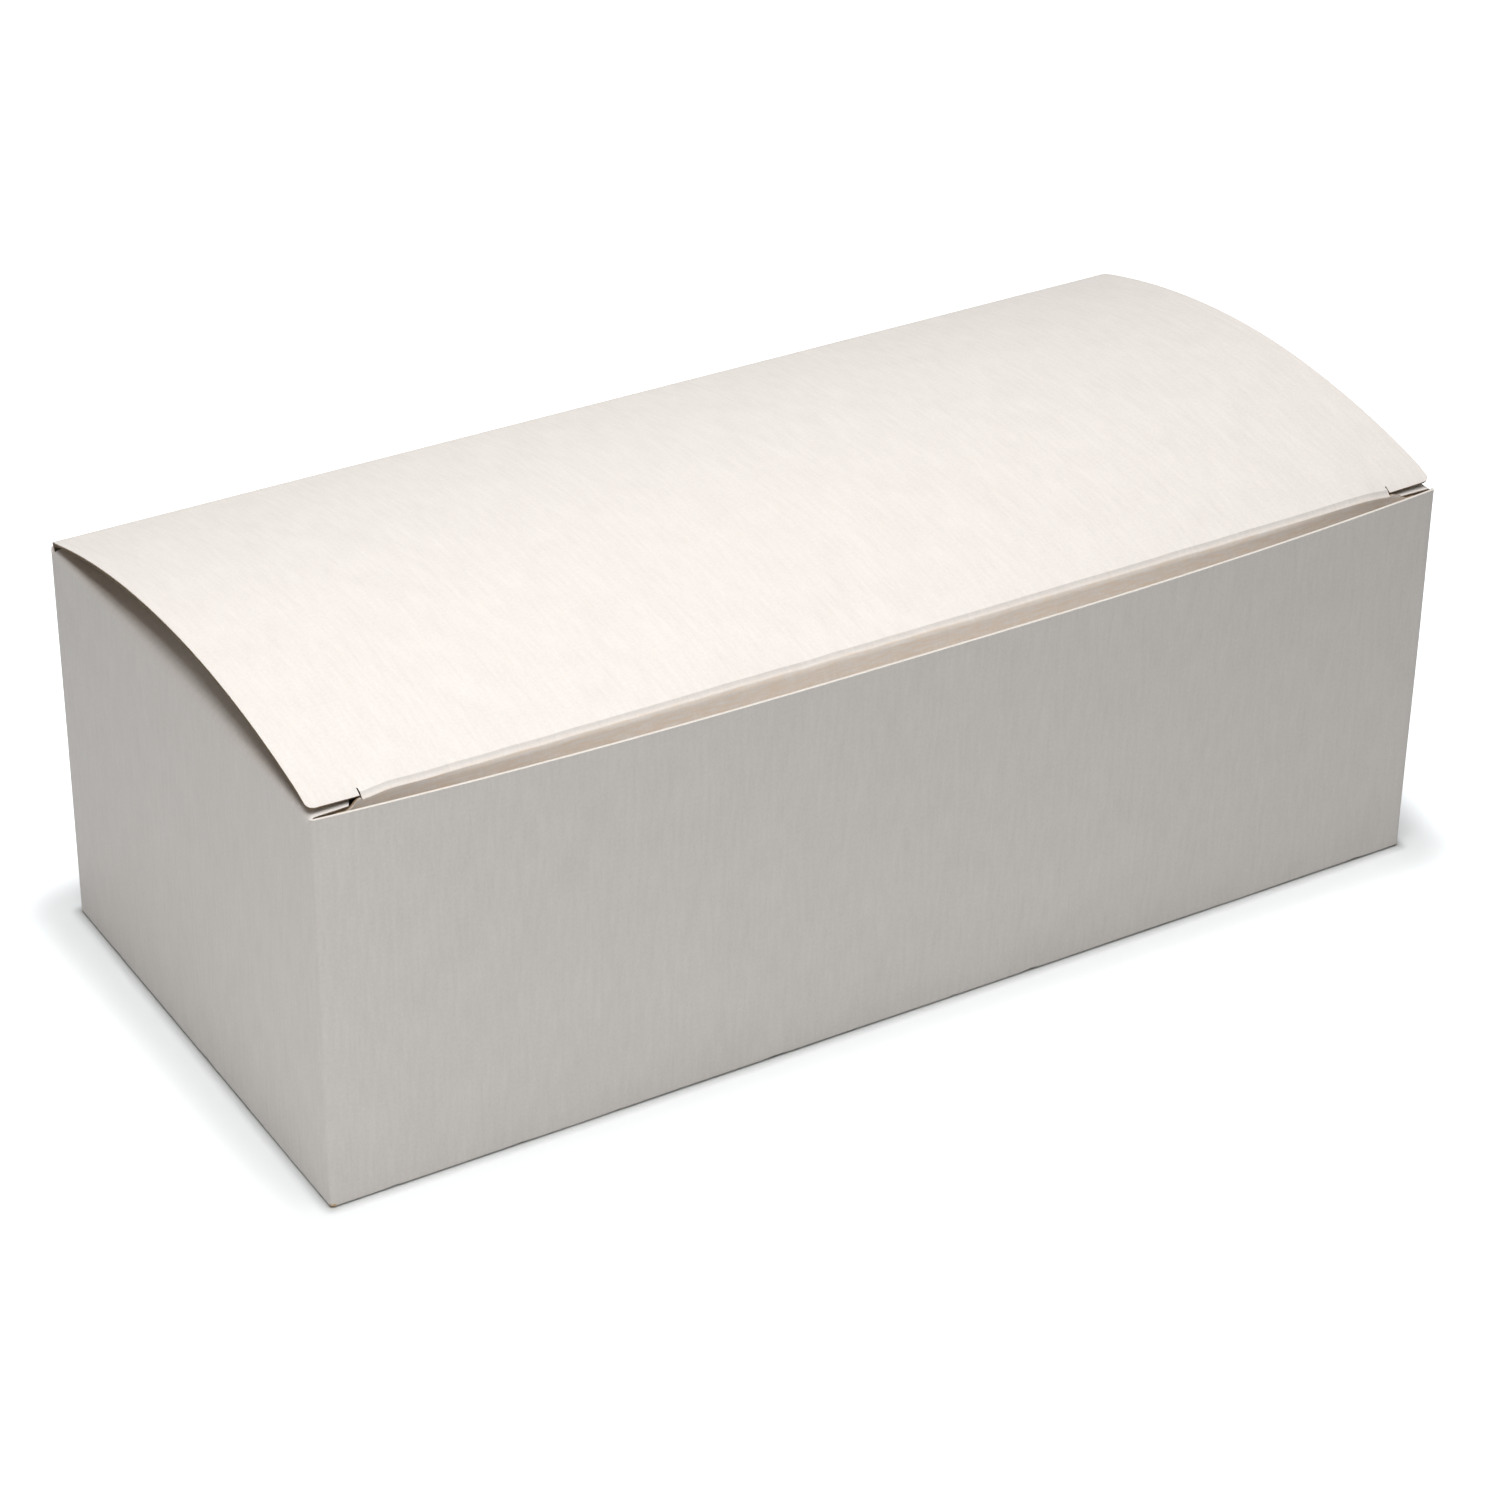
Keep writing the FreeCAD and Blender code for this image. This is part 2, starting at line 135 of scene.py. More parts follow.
# Dust flaps.
DUST_FOLD = 1.0 * MM
DUST_GAP = 0.32 * MM             # from the front wall to a dust flap
DUST_BACK_GAP = 0.3 * MM         # from a dust flap to the back corner's fold
DUST_RELIEF = 0.02 * MM          # cut at each end of a dust flap's fold
DUST_TAPER = 0.12 * MM           # over the strip below an ear
SHOULDER = 5.6 * MM              # length of that strip
SHOULDER_RUN = 1.3 * MM
DUST_SETBACK = 3.2 * MM          # from the front wall's face to the flap's edge further in
DUST_SKEW, DUST_SKEW_RUN = 3 * MM, 20 * MM  # how its back edge draws in
DUST_LENGTH = 86.0 * MM
DUST_SPRING = 2.3 * MM           # how far the dust flaps spring up below the lid's arch
DUST_SPRING_RUN = 3.0 * MM
DUST_UNEVEN, DUST_WAVE, DUST_EVEN = 0.15 * MM, 40 * MM, 10 * MM
DUST_WEAR, DUST_WEAR_WIDTH = 0.4, 1.0 * MM

# Bottom flaps.
SEAM_WIDTH = 0.7 * MM
SEAM_OFFSET = 9.0 * MM           # how far the seam is off the middle, to either side
SEAM_STEP = 7.0 * MM             # half the length of the seam's slant between the two
FLAP_INSET = 0.9 * MM            # long flaps' short edges, in from the side walls
FLAP_CURL, CURL_WAVE = 0.08 * MM, 50 * MM
FLAP_DROP_RUN = 3 * MM           # how far in from its fold a long flap comes to the table
FLOOR_GAP = 0.01 * MM            # below the bottom flaps where they lie on the table
FLAP_WEAR, FLAP_WEAR_SHARE = 0.3, 0.02
SIDE_FLAP = 38.0 * MM
SIDE_FLAP_INSET = 2 * MM
SIDE_FLAP_GAP = 0.2 * MM         # above the long flaps
SIDE_FLAP_RUN = 3 * MM

# Places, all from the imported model's box.
HALF = (CAD_HIGH.x - CAD_LOW.x) / 2
BACK = CAD_HIGH.y
FRONT = CAD_LOW.y + FRONT_BOW
TOP = CAD_HIGH.z - CROWN_END
SLIT_X = HALF - EAR_LENGTH
LID_END = HALF - LID_INSET

# Mesh pitches and numbers of steps.
FINE = 0.7 * MM
COARSE = 1.8 * MM
EAR_PITCH = 0.4 * MM
SLIT_STATIONS = 7                # fine stations beside each slit
DUST_PITCHES = (0.8 * MM, 0.4 * MM, 2.5 * MM)  # strip below an ear, shoulder, further in
FOLD_STEPS = 7
WALL_ROWS = 29
FOOT_ROWS = (0.004, 0.009, 0.016, 0.025)  # extra rows near the feet, as shares of the wall
HINGE_ROWS, ARCH_ROWS, LIP_ROWS, CREASE_ROWS, TUCK_ROWS = 8, 56, 8, 19, 22
FLAP_ROWS = 24
SHARP = math.radians(40)         # edges that turn more than this stay crisp

# The sheet's panels and corner folds, from the glued corner round to it.
(BACK_WALL, BACK_LEFT, LEFT_WALL, FRONT_LEFT, FRONT_WALL,
 FRONT_RIGHT, RIGHT_WALL, BACK_RIGHT) = range(8)
CORNERS = (BACK_LEFT, FRONT_LEFT, FRONT_RIGHT, BACK_RIGHT)


def stations(start, end, pitch):
    """Evenly spaced values from start to end, about a pitch apart."""
    count = max(2, round(abs(end - start) / pitch) + 1)
    return np.linspace(start, end, count)


def progress(value, length):
    """How far a value has come along a length, from 0 to 1."""
    return np.clip(value / length, 0, 1)


def near(value, centre, width):
    """A bell of height 1 at the centre."""
    return np.exp(-((value - centre) / width) ** 2)


def waves(along, across, seed, length, count=7):
    """Smooth unevenness between about -1 and 1, with waves of about the given length."""
    rng = np.random.default_rng(seed)
    total = np.zeros(np.broadcast(along, across).shape)
    for _ in range(count):
        heading = rng.uniform(0, 2 * math.pi)
        reach = length * rng.uniform(*WAVE_SPREAD)
        phase = rng.uniform(0, 2 * math.pi)
        path = along * math.cos(heading) + across * math.sin(heading)
        total = total + np.sin(2 * math.pi * path / reach + phase)
    return total / math.sqrt(2 * count)


# A sheet of board.

def grid_cells(rows, columns, keep):
    """The grid points that are in use, and the kept cells' corners among them."""
    ids = np.arange(rows * columns).reshape(rows, columns)
    if keep is None:
        keep = np.ones((rows - 1, columns - 1), bool)
    corners = (ids[:-1, :-1], ids[:-1, 1:], ids[1:, 1:], ids[1:, :-1])
    quads = np.stack([corner[keep] for corner in corners], 1)
    used, quads = np.unique(quads, return_inverse=True)
    return used, quads.reshape(-1, 4)


def outward_normals(points, quads):
    """Each point's direction away from the sheet's coated face."""
    a, b, c, d = (points[quads[:, corner]] for corner in range(4))
    facing = np.cross(c - a, d - b)
    normal = np.zeros_like(points)
    for corner in range(4):
        np.add.at(normal, quads[:, corner], facing)
    return normal / np.linalg.norm(normal, axis=1)[:, None]


def rim_faces(quads, total):
    """Faces that join the coated side's free edges to the inner side's."""
    sides = {(int(p), int(q)) for quad in quads for p, q in zip(quad, np.roll(quad, -1))}
    return [(q, p, p + total, q + total) for p, q in sorted(sides) if (q, p) not in sides]


def board_mesh(name, face, blank, wear, keep=None, bounce_tint_share=None):
    """A closed sheet of board whose coated face is the grid of points.

    blank gives each point's place on the flat blank, wear how far its coating is stressed,
    keep the cells that the die left, and the last argument how far painted warm light, bounced from
    the front wall's raw inner side, tints the tuck flap in fibre strands.
    """
    used, quads = grid_cells(*face.shape[:2], keep)
    outer = face.reshape(-1, 3)[used]
    place = blank.reshape(-1, 2)[used]
    stress = np.clip(wear, 0, 1).ravel()[used]
    inner = outer - outward_normals(outer, quads) * BOARD
    total = len(outer)
    rim = rim_faces(quads, total)
    faces = quads.tolist() + (quads[:, ::-1] + total).tolist() + rim
    parts = [len(quads), len(quads), len(rim)]

    mesh = bpy.data.meshes.new(name)
    mesh.from_pydata(np.vstack([outer, inner]).tolist(), [], faces)
    mesh.polygons.foreach_set("material_index", np.repeat([0, 1, 2], parts).astype(np.int32))
    depth = np.repeat([0.0, BOARD], total)[:, None]
    spots = np.hstack([np.vstack([place, place]), depth]).astype(np.float32)
    mesh.attributes.new("blank", "FLOAT_VECTOR", "POINT").data.foreach_set("vector", spots.ravel())
    # The tuck flap's share of painted warm bounce light, held at each point.
    bounce_tint_values = np.zeros(total) if bounce_tint_share is None else bounce_tint_share.ravel()[used]
    for key, values in (("wear", stress), ("bounce_tint_share", bounce_tint_values)):
        both = np.tile(values, 2).astype(np.float32)
        mesh.attributes.new(key, "FLOAT", "POINT").data.foreach_set("value", both)
    mesh.shade_smooth()
    mesh.set_sharp_from_angle(angle=SHARP)
    piece = bpy.data.objects.new(name, mesh)
    bpy.context.scene.collection.objects.link(piece)
    return piece


# Walls.

def front_bow(x, z):
    """How far the front wall stands out at a place: most at its top edge, mid-length."""
    across = progress(np.abs(x), HALF - FOLD)
    return FRONT_BOW * (1 - across ** BOW_POWER) * np.clip(z / TOP, 0, None)


def arc_plan(centre, start):
    """A quarter turn in plan round a corner fold, with its outward directions."""
    angle = np.radians(start) + np.linspace(0, math.pi / 2, FOLD_STEPS)
    outward = np.stack([np.cos(angle), np.sin(angle)], 1)
    return np.array(centre) + FOLD * outward, outward


def line_plan(start, end, outward, pitch, extra=()):
    """A straight run in plan; extra gives more stations as distances from its start."""
    start, end = np.array(start), np.array(end)
    length = np.linalg.norm(end - start)
    along = np.union1d(stations(0, length, pitch), extra)
    points = start + along[:, None] * (end - start) / length
    return points, np.tile(np.array(outward, float), (len(points), 1))


def dust_ends():
    """Where a dust flap's fold starts and ends on its side wall, from front to back."""
    return FRONT + BOARD + DUST_GAP, BACK - BOARD - FOLD - DUST_BACK_GAP


def wall_plan():
    """The carton's outline in plan from its glued corner: back, left, front and right."""
    cut = DUST_RELIEF
    low, high = dust_ends()
    left_from, right_from = BACK - FOLD, FRONT + FOLD
    left_stops = [left_from - high, left_from - high + cut,
                  left_from - low, left_from - low - cut]
    right_stops = [low - right_from, low - right_from + cut,
                   high - right_from, high - right_from - cut]
    glue = BACK - BOARD
    runs = [
        line_plan((HALF - GLUED_EDGE, BACK), (FOLD - HALF, BACK), (0, 1), COARSE),
        arc_plan((FOLD - HALF, BACK - FOLD), 90),
        line_plan((-HALF, BACK - FOLD), (-HALF, FRONT + FOLD), (-1, 0), COARSE, left_stops),
        arc_plan((FOLD - HALF, FRONT + FOLD), 180),
        line_plan((FOLD - HALF, FRONT), (HALF - FOLD, FRONT), (0, -1), FINE),
        arc_plan((HALF - FOLD, FRONT + FOLD), 270),
        line_plan((HALF, FRONT + FOLD), (HALF, glue - FOLD), (1, 0), COARSE, right_stops),
        arc_plan((HALF - FOLD, glue - FOLD), 0),
        line_plan((HALF - FOLD, glue), (HALF - GLUE_FLAP, glue), (0, 1), COARSE),
    ]
    points = np.vstack([run[0] for run in runs])
    outward = np.vstack([run[1] for run in runs])
    panel = np.repeat(np.arange(len(runs)), [len(run[0]) for run in runs])
    fresh = np.append(True, np.linalg.norm(np.diff(points, axis=0), axis=1) > TINY)
    return points[fresh], outward[fresh], panel[fresh]


def around(points):
    """Each column's distance round the carton, along the flat blank."""
    return np.append(0, np.cumsum(np.linalg.norm(np.diff(points, axis=0), axis=1)))


def wall_tops(points, panel):
    """Each column's top: a cut edge, or where a dust flap or the lid's piece starts."""
    low, high = dust_ends()
    flap = (points[:, 1] > low - TINY) & (points[:, 1] < high + TINY)
    flap = np.isin(panel, (LEFT_WALL, RIGHT_WALL)) & flap
    tops = np.where(flap, TOP - DUST_FOLD, TOP)
    return np.where(panel == BACK_WALL, TOP - LID_ROOT, tops)


def foot_lift(along, points):
    """How far the bottom folds stand off the floor, with the small nicks of their cuts."""
    side = progress(np.abs(points[:, 0]) - HALF + SIDE_LIFT_RUN, SIDE_LIFT_RUN)
    lift = LONG_LIFT + (SIDE_LIFT - LONG_LIFT) * side * side
    uneven = FOOT_UNEVEN * waves(along, 0 * along, seed=5, length=FOOT_WAVE)
    rng = np.random.default_rng(seed=11)
    for spot in np.arange(along[0], along[-1], NICK_PITCH):
        place = spot + rng.uniform(0, NICK_SHIFT)
        height = rng.uniform(*NICK_HEIGHTS) * MM
        lift = lift + height * near(along, place, rng.uniform(*NICK_WIDTHS) * MM)
    return lift + uneven


def wall_wear(height, panel):
    """How far the walls' coating is stressed: at the feet, the corners and the knocks."""
    corner = np.isin(panel, CORNERS)
    knock = np.where(panel == FRONT_LEFT, CRUSHED, KNOCKED)
    knock = knock * near(height, 0, KNOCK_WIDTH) * corner
    return FOOT_WEAR * near(height, 0, FOOT_WEAR_WIDTH) + CORNER_WEAR * corner + knock


def add_walls():
    """Four walls as one wrapped sheet, with rounded folds and a glued corner."""
    points, outward, panel = wall_plan()
    along = around(points)
    tops = wall_tops(points, panel)
    turn = np.linspace(0, math.pi / 2, FOLD_STEPS)[:-1]
    climb = np.unique(np.append(FOOT_ROWS, stations(0, 1, 1 / WALL_ROWS)))[:, None]
    foot = FOOT_FOLD * (1 - np.cos(turn))[:, None] + 0 * tops
    height = np.vstack([foot, FOOT_FOLD + climb * (tops - FOOT_FOLD)])
    inset = np.append(FOOT_FOLD * (1 - np.sin(turn)), np.zeros(len(climb)))[:, None]

    bulge = WALL_BULGE * waves(along, height, seed=3, length=BULGE_WAVE)
    bulge = bulge * np.sin(math.pi * progress(height, TOP))
    x = points[:, 0] - inset * outward[:, 0] + bulge * outward[:, 0]
    y = points[:, 1] - inset * outward[:, 1] + bulge * outward[:, 1]
    y = y - np.where(panel == FRONT_WALL, front_bow(points[:, 0], height), 0)
    z = height + foot_lift(along, points) * np.exp(-height / FOOT_FADE)
    face = np.stack([x, y, z], 2)
    blank = np.stack([along + 0 * height, height], 2)
    return board_mesh("carton_walls", face, blank, wall_wear(height, panel))


# Lid.

def on_ear(x):
    """Whether a station is at a slit or beyond it."""
    return np.abs(x) > SLIT_X - TINY


def arch(crown, hinge, crease):
    """The circle that touches the tops of both folds and rises to the crown, by halving."""
    span = hinge[0] - crease[0]
    over_hinge = crown - hinge[1] - HINGE
    over_crease = crown - crease[1] - CREASE
    small, large = (radius + 0 * crown for radius in ARCH_RADII)
    for _ in range(HALVINGS):
        radius = (small + large) / 2
        behind = np.sqrt(np.maximum(over_hinge * (2 * radius - over_hinge - 2 * HINGE), 0))
        ahead = np.sqrt(np.maximum(over_crease * (2 * radius - over_crease - 2 * CREASE), 0))
        wide = behind + ahead > span
        large = np.where(wide, radius, large)
        small = np.where(wide, small, radius)
    return radius, (hinge[0] - behind, crown - radius)


def turning(start, end, steps):
    """Angles from start to end, one column per station."""
    return start + (end - start) * steps[:, None]


def sweep(centre, radius, angle):
    """Points of an arc in the upright plane, one column per station."""
    return np.stack([centre[0] + radius * np.cos(angle), centre[1] + radius * np.sin(angle)], 2)


def crease_radius(angle, start):
    """A scored crease's size at a place on its turn: pressed flat, then a sharp front ridge."""
    half = CREASE_FLAT / 2
    off = np.clip(angle - start - half, -half, half)
    return CREASE * (1 - CREASE_HOLLOW * (1 - math.cos(half) / np.cos(off)))


def behind_wall(x, z):
    """Where the tuck flap's coated face lies close behind the front wall."""
    return FRONT + BOARD + TUCK_CLEARANCE - front_bow(x, z)


def tuck_rows(x, top, drop):
    """The tuck flap from its top down: leaning to the front wall, then along it."""
    z = top[:, 1] + drop * (TOP - TUCK_DEPTH - top[:, 1])
    lean = progress(z - TOP + TUCK_TOUCH, top[:, 1] - TOP + TUCK_TOUCH)
    off = (top[:, 0] - behind_wall(x, top[:, 1])) * lean ** TUCK_LEAN
    return np.stack([behind_wall(x, z) + off, z], 2)


def shoulder_top(x, top):
    """The tuck flap's top edge beyond the slits, where it runs on below the ears."""
    out = progress(np.abs(x) - SLIT_X, TUCK_EASE)
    out = out * out * (3 - 2 * out)
    corner = progress(np.abs(x) - (HALF - TUCK_END - TUCK_CORNER), TUCK_CORNER)
    y = top[:, 0] + (behind_wall(x, TOP) - TUCK_PRESS - top[:, 0]) * out
    z = top[:, 1] + (TOP - TUCK_DROP - top[:, 1]) * out - TUCK_CORNER_DROP * corner ** 2
    return np.stack([y, z], 1)


def lid_folds(x):
    """The middles of the hinge's and the crease's folds at each station."""
    ends = progress(np.abs(x), SLIT_X) ** 2
    hinge = (BACK - HINGE + 0 * x, TOP + HINGE_LIFT + 0 * x)
    crease = (
        FRONT + CREASE + CREASE_SETBACK_MID + (CREASE_SETBACK_END - CREASE_SETBACK_MID) * ends,
        TOP + CREASE_LIFT_MID + (CREASE_LIFT_END - CREASE_LIFT_MID) * ends,
    )
    return hinge, crease


def crease_and_tuck(x, crease, ahead):
    """The turn over the crease, then the tuck flap that leans from it to the front wall."""
    touch_y, touch_z = behind_wall(x, TOP - TUCK_TOUCH), TOP - TUCK_TOUCH
    reach = np.hypot(touch_y - crease[0], touch_z - crease[1])
    bearing = np.arctan2(touch_z - crease[1], touch_y - crease[0]) % (2 * math.pi)
    turned = bearing - np.arccos(CREASE / reach)
    angle = turning(ahead, turned, np.linspace(0, 1, CREASE_ROWS)[1:])
    fold = sweep(crease, crease_radius(angle, ahead), angle)
    drop = np.linspace(0, 1, TUCK_ROWS)[:, None]
    tuck = tuck_rows(x, fold[-1], drop)
    shoulder = tuck_rows(x, shoulder_top(x, fold[-1]), drop)
    return fold, np.where(on_ear(x)[:, None], shoulder, tuck)


def lid_rows(x):
    """The lid's section at each station: riser, hinge, arch, crease and tuck flap.

    Also gives the rows of the slits' hooks, of the crease line and of the crease's foot.
    """
    hinge, crease = lid_folds(x)
    share = np.abs(x) / HALF
    crown = TOP + CROWN_MID + (CROWN_END - CROWN_MID) * share ** 2
    radius, middle = arch(crown, hinge, crease)
    behind = np.arctan2(hinge[1] - middle[1], hinge[0] - middle[0])
    ahead = np.arctan2(crease[1] - middle[1], crease[0] - middle[0])
    hook = ahead - SLIT_HOOK / radius

    rise = np.concatenate([
        np.stack([hinge[0] + HINGE, TOP - LID_ROOT + 0 * x], 1)[None],
        sweep(hinge, HINGE, turning(0 * behind, behind, np.linspace(0, 1, HINGE_ROWS))),
        sweep(middle, radius, turning(behind, hook, np.linspace(0, 1, ARCH_ROWS)[1:])),
    ])
    steps = np.linspace(0, 1, LIP_ROWS)[1:]
    lip = sweep(middle, radius, turning(hook, ahead, steps))
    forward = np.stack([-np.sin(hook), np.cos(hook)], 1)
    ear = rise[-1] + EAR_REACH * steps[:, None, None] * forward
    lip = np.where(on_ear(x)[:, None], ear, lip)
    fold, tuck = crease_and_tuck(x, crease, ahead)
    rows = np.concatenate([rise, lip, fold[:-1], tuck])
    line = len(rise) + len(lip) - 1
    return rows, len(rise) - 1, line, line + len(fold)


def ear_droop(x, past, hook, line):
    """How far the lid's front bends down at the ears, which only rest on the dust flaps."""
    out = progress(np.abs(x) - SLIT_X, EAR_LENGTH)
    within = np.clip(SLIT_X - np.abs(x), 0, None)
    side = EAR_DROOP * (1 - EAR_TIP_RISE * out) * near(within, 0, EAR_FADE)
    bent = np.clip((past + EAR_BEND) / EAR_BEND, 0, None) ** EAR_BEND_POWER
    held = np.minimum(bent, bent[hook])
    droop = side * np.where(on_ear(x), bent, held)
    row = np.arange(len(past))[:, None]
    return np.where(on_ear(x) & (row > line), 0, droop)


def lid_edges(x, along, past):
    """Stations with the ears' corners rounded and the ends drawn in at the hinge."""
    share = progress(np.abs(x) - SLIT_X, LID_END - SLIT_X)
    into = np.clip(past + EAR_CORNER, 0, EAR_CORNER)
    cut = EAR_CORNER - np.sqrt(EAR_CORNER ** 2 - into ** 2)
    cut = np.where(past > TINY, 0, cut)
    root = np.clip(1 - along / ROOT_RUN, 0, 1)
    return x - np.sign(x) * share * (cut + ROOT_INSET * root * root)


def lid_stations():
    """Places along the lid from its right end to its left, closer at the ears and slits."""
    slit = SLIT_X - SLIT_WIDTH
    ear = stations(LID_END, SLIT_X, EAR_PITCH)
    x = np.concatenate([ear, stations(slit, -slit, COARSE), -ear[::-1]])
    beside = FINE * np.arange(1, SLIT_STATIONS + 1)
    return np.union1d(x, np.concatenate([slit - beside, beside - slit]))[::-1]


def lid_cells(x, rows, hook, line, foot):
    """The cells that the die left round the slits, the ears and the tuck flap's ends."""
    keep = np.ones((rows - 1, len(x) - 1), bool)
    out = np.maximum(np.abs(x[1:]), np.abs(x[:-1]))
    ears = on_ear(np.minimum(np.abs(x[1:]), np.abs(x[:-1])))
    keep[line:foot, ears] = False
    keep[hook:foot, ~ears & on_ear(out)] = False
    keep[foot:, out > HALF - TUCK_END] = False
    return keep


def add_lid():
    """The arched lid, hinged at the back, with its creased tuck flap and two ears."""
    x = lid_stations()
    section, hook, line, foot = lid_rows(x)
    steps = np.linalg.norm(np.diff(section, axis=0), axis=2)
    along = np.concatenate([np.zeros((1, len(x))), np.cumsum(steps, axis=0)])
    past = along - along[line]
    across = lid_edges(x, along, past)

    wavy = LID_UNEVEN * waves(x, along, seed=8, length=LID_WAVE)
    wavy = wavy * np.sin(math.pi * progress(along, along[line]))
    folded = near(along, along[line] + CREASE, CRINKLE_WIDTH) * ~on_ear(x)
    crinkle = CRINKLE * waves(x, 0 * x, seed=21, length=CRINKLE_WAVE) * folded
    height = section[..., 1] + wavy + crinkle - ear_droop(x, past, hook, line)
    face = np.stack([across, section[..., 0], height], 2)
    blank = np.stack([HALF - GLUED_EDGE - across, TOP - LID_ROOT + along], 2)
    ridge = near(past, CREASE * CREASE_FLAT, RIDGE_WEAR_WIDTH) * ~on_ear(x)
    wear = HINGE_WEAR * near(along, HINGE_WEAR_PLACE, HINGE_WEAR_WIDTH) + RIDGE_WEAR * ridge
    row = np.arange(len(section))[:, None]
    # Painted warm bounce light: none on the lid, rising over the crease to full on the tuck flap.
    bounce_tint_share = progress(row - line, foot - line) ** BOUNCE_POWER + 0 * along
    keep = lid_cells(x, len(section), hook, line, foot)
    return board_mesh("carton_lid", face, blank, wear, keep, bounce_tint_share)


# Flaps.

def dust_front(inward):
    """The dust flap's cut front edge: a slight taper, then a step back for the tuck flap."""
    edge = FRONT + BOARD + DUST_GAP
    taper = edge + DUST_TAPER * progress(inward, SHOULDER)
    step = progress(inward - SHOULDER, SHOULDER_RUN)
    return taper + (FRONT + DUST_SETBACK - taper) * step


def dust_spring(inward, share):
    """How far a dust flap springs up from its fold, most of all where the lid's arch is high."""
    spring = DUST_SPRING * (1 - np.exp(-inward / DUST_SPRING_RUN))
    return spring * np.sin(math.pi * share) ** 2


def dust_section():
    """A dust flap's section: distances in from the side wall, and heights."""
    turn = np.linspace(0, math.pi / 2, FOLD_STEPS)
    ends = (DUST_FOLD, SHOULDER, SHOULDER + SHOULDER_RUN, DUST_LENGTH)
    runs = [stations(*run) for run in zip(ends, ends[1:], DUST_PITCHES)]
    flat = np.unique(np.concatenate(runs))[1:]
    inward = np.append(DUST_FOLD * (1 - np.cos(turn)), flat)
    height = np.append(TOP - DUST_FOLD * (1 - np.sin(turn)), TOP + 0 * flat)
    return inward[:, None], height[:, None]


def add_dust_flap(side, middle):
    """A dust flap, folded in from its side wall; side is -1 on the left and 1 on the right.

    middle is where the side wall's y = 0 lies along the flat blank.
    """
    inward, height = dust_section()
    low, high = dust_ends()
    front = dust_front(inward)
    back = high - DUST_SKEW * progress(inward, DUST_SKEW_RUN)
    share = stations(0, 1, COARSE / (high - low))
    if side > 0:
        share = share[::-1]
    y = back + (front - back) * share
    bend = DUST_UNEVEN * waves(inward, y, seed=31 + side, length=DUST_WAVE)
    bend = bend * progress(inward, DUST_EVEN) + dust_spring(inward, share)
    face = np.stack([side * (HALF - inward) + 0 * y, y, height + bend], 2)
    steps = np.hypot(np.diff(inward, axis=0), np.diff(height, axis=0))
    path = np.append(0, np.cumsum(steps))[:, None]
    blank = np.stack([middle + side * y, TOP - DUST_FOLD + path + 0 * y], 2)
    wear = DUST_WEAR * near(path, DUST_FOLD, DUST_WEAR_WIDTH) + 0 * y
    name = "dust_flap_right" if side > 0 else "dust_flap_left"
    return board_mesh(name, face, blank, wear)


def side_middles():
    """Where y = 0 of the left and the right wall lies along the flat blank."""
    points, _, panel = wall_plan()
    along = around(points)
    left, right = (np.argmax(panel == wall) for wall in (LEFT_WALL, RIGHT_WALL))
    return along[left] + points[left, 1], along[right] - points[right, 1]


def seam_line(x):
    """The middle line of the seam between the long bottom flaps, which hook each other."""
    return -SEAM_OFFSET * np.clip(x / SEAM_STEP, -1, 1)


def add_long_flap(name, wall, outward):
    """A long bottom flap, from the foot of the front or back wall to the seam."""
    edge = HALF - FLAP_INSET
    stops = [-SEAM_STEP, SEAM_STEP]
    x = np.union1d(stations(-edge, edge, COARSE), stops)[:, None]
    share = stations(0, 1, 1 / FLAP_ROWS)
    fold = wall - outward * FOOT_FOLD + 0 * x
    cut = seam_line(x) + outward * SEAM_WIDTH / 2
    y = cut + (fold - cut) * share
    if outward > 0:
        x, y = x[::-1], y[::-1]
    curl = np.clip(1 + waves(x, y, seed=41, length=CURL_WAVE), 0, None)
    curl = FLAP_CURL * curl * (1 - share)
    rise = LONG_LIFT * np.exp(-np.abs(fold - y) / FLAP_DROP_RUN)
    face = np.stack([x + 0 * y, y, FLOOR_GAP + curl + rise], 2).transpose(1, 0, 2)
    blank = np.stack([x + 0 * y, y], 2).transpose(1, 0, 2)
    wear = FLAP_WEAR * near(share, 1, FLAP_WEAR_SHARE)[:, None] + 0 * x.T
    return board_mesh(name, face, blank, wear)


def add_side_flap(side):
    """A short bottom flap, above the long ones, seen only through their gaps."""
    y = stations(FRONT + SIDE_FLAP_INSET, BACK - SIDE_FLAP_INSET, COARSE)
    if side < 0:
        y = y[::-1]
    inward = stations(SIDE_FLAP, FOOT_FOLD, COARSE)[:, None]
    fall = progress(inward, SIDE_FLAP_RUN)
    level = SIDE_LIFT + (BOARD + SIDE_FLAP_GAP - SIDE_LIFT) * fall
    face = np.stack([side * (HALF - inward) + 0 * y, y + 0 * inward, level + 0 * y], 2)
    blank = np.stack([y + 0 * inward, -inward + 0 * y], 2)
    name = "side_flap_right" if side > 0 else "side_flap_left"
    return board_mesh(name, face, blank, 0 * face[..., 0])


# Materials. A grain is in waves per metre round the blank, up it and through the board.

COAT_DARK, COAT_PALE = (0.800, 0.755, 0.716), (0.900, 0.855, 0.814)
BOUNCE_TINT = (0.82, 0.70, 0.58)   # painted warm light on the tuck flap, bounced from the front wall's raw inner side, in fibre strands
TORN = (0.72, 0.49, 0.26)        # frayed fibres where a corner was knocked
SPECK = (0.12, 0.10, 0.08)
PULP_DARK, PULP_PALE = (0.46, 0.38, 0.30), (0.66, 0.57, 0.47)
SHADED_EDGE = (0.62, 0.56, 0.50), (0.24, 0.17, 0.11)  # at the coating, and in the board's core, darkened as painted shade for the lid's and flaps' edges
# The walls' cut edges: the same core lightened as painted light, as for the front wall's top edge,
# which faces the lamps above.
LIT_EDGE = (0.90, 0.88, 0.85), (0.78, 0.72, 0.66)

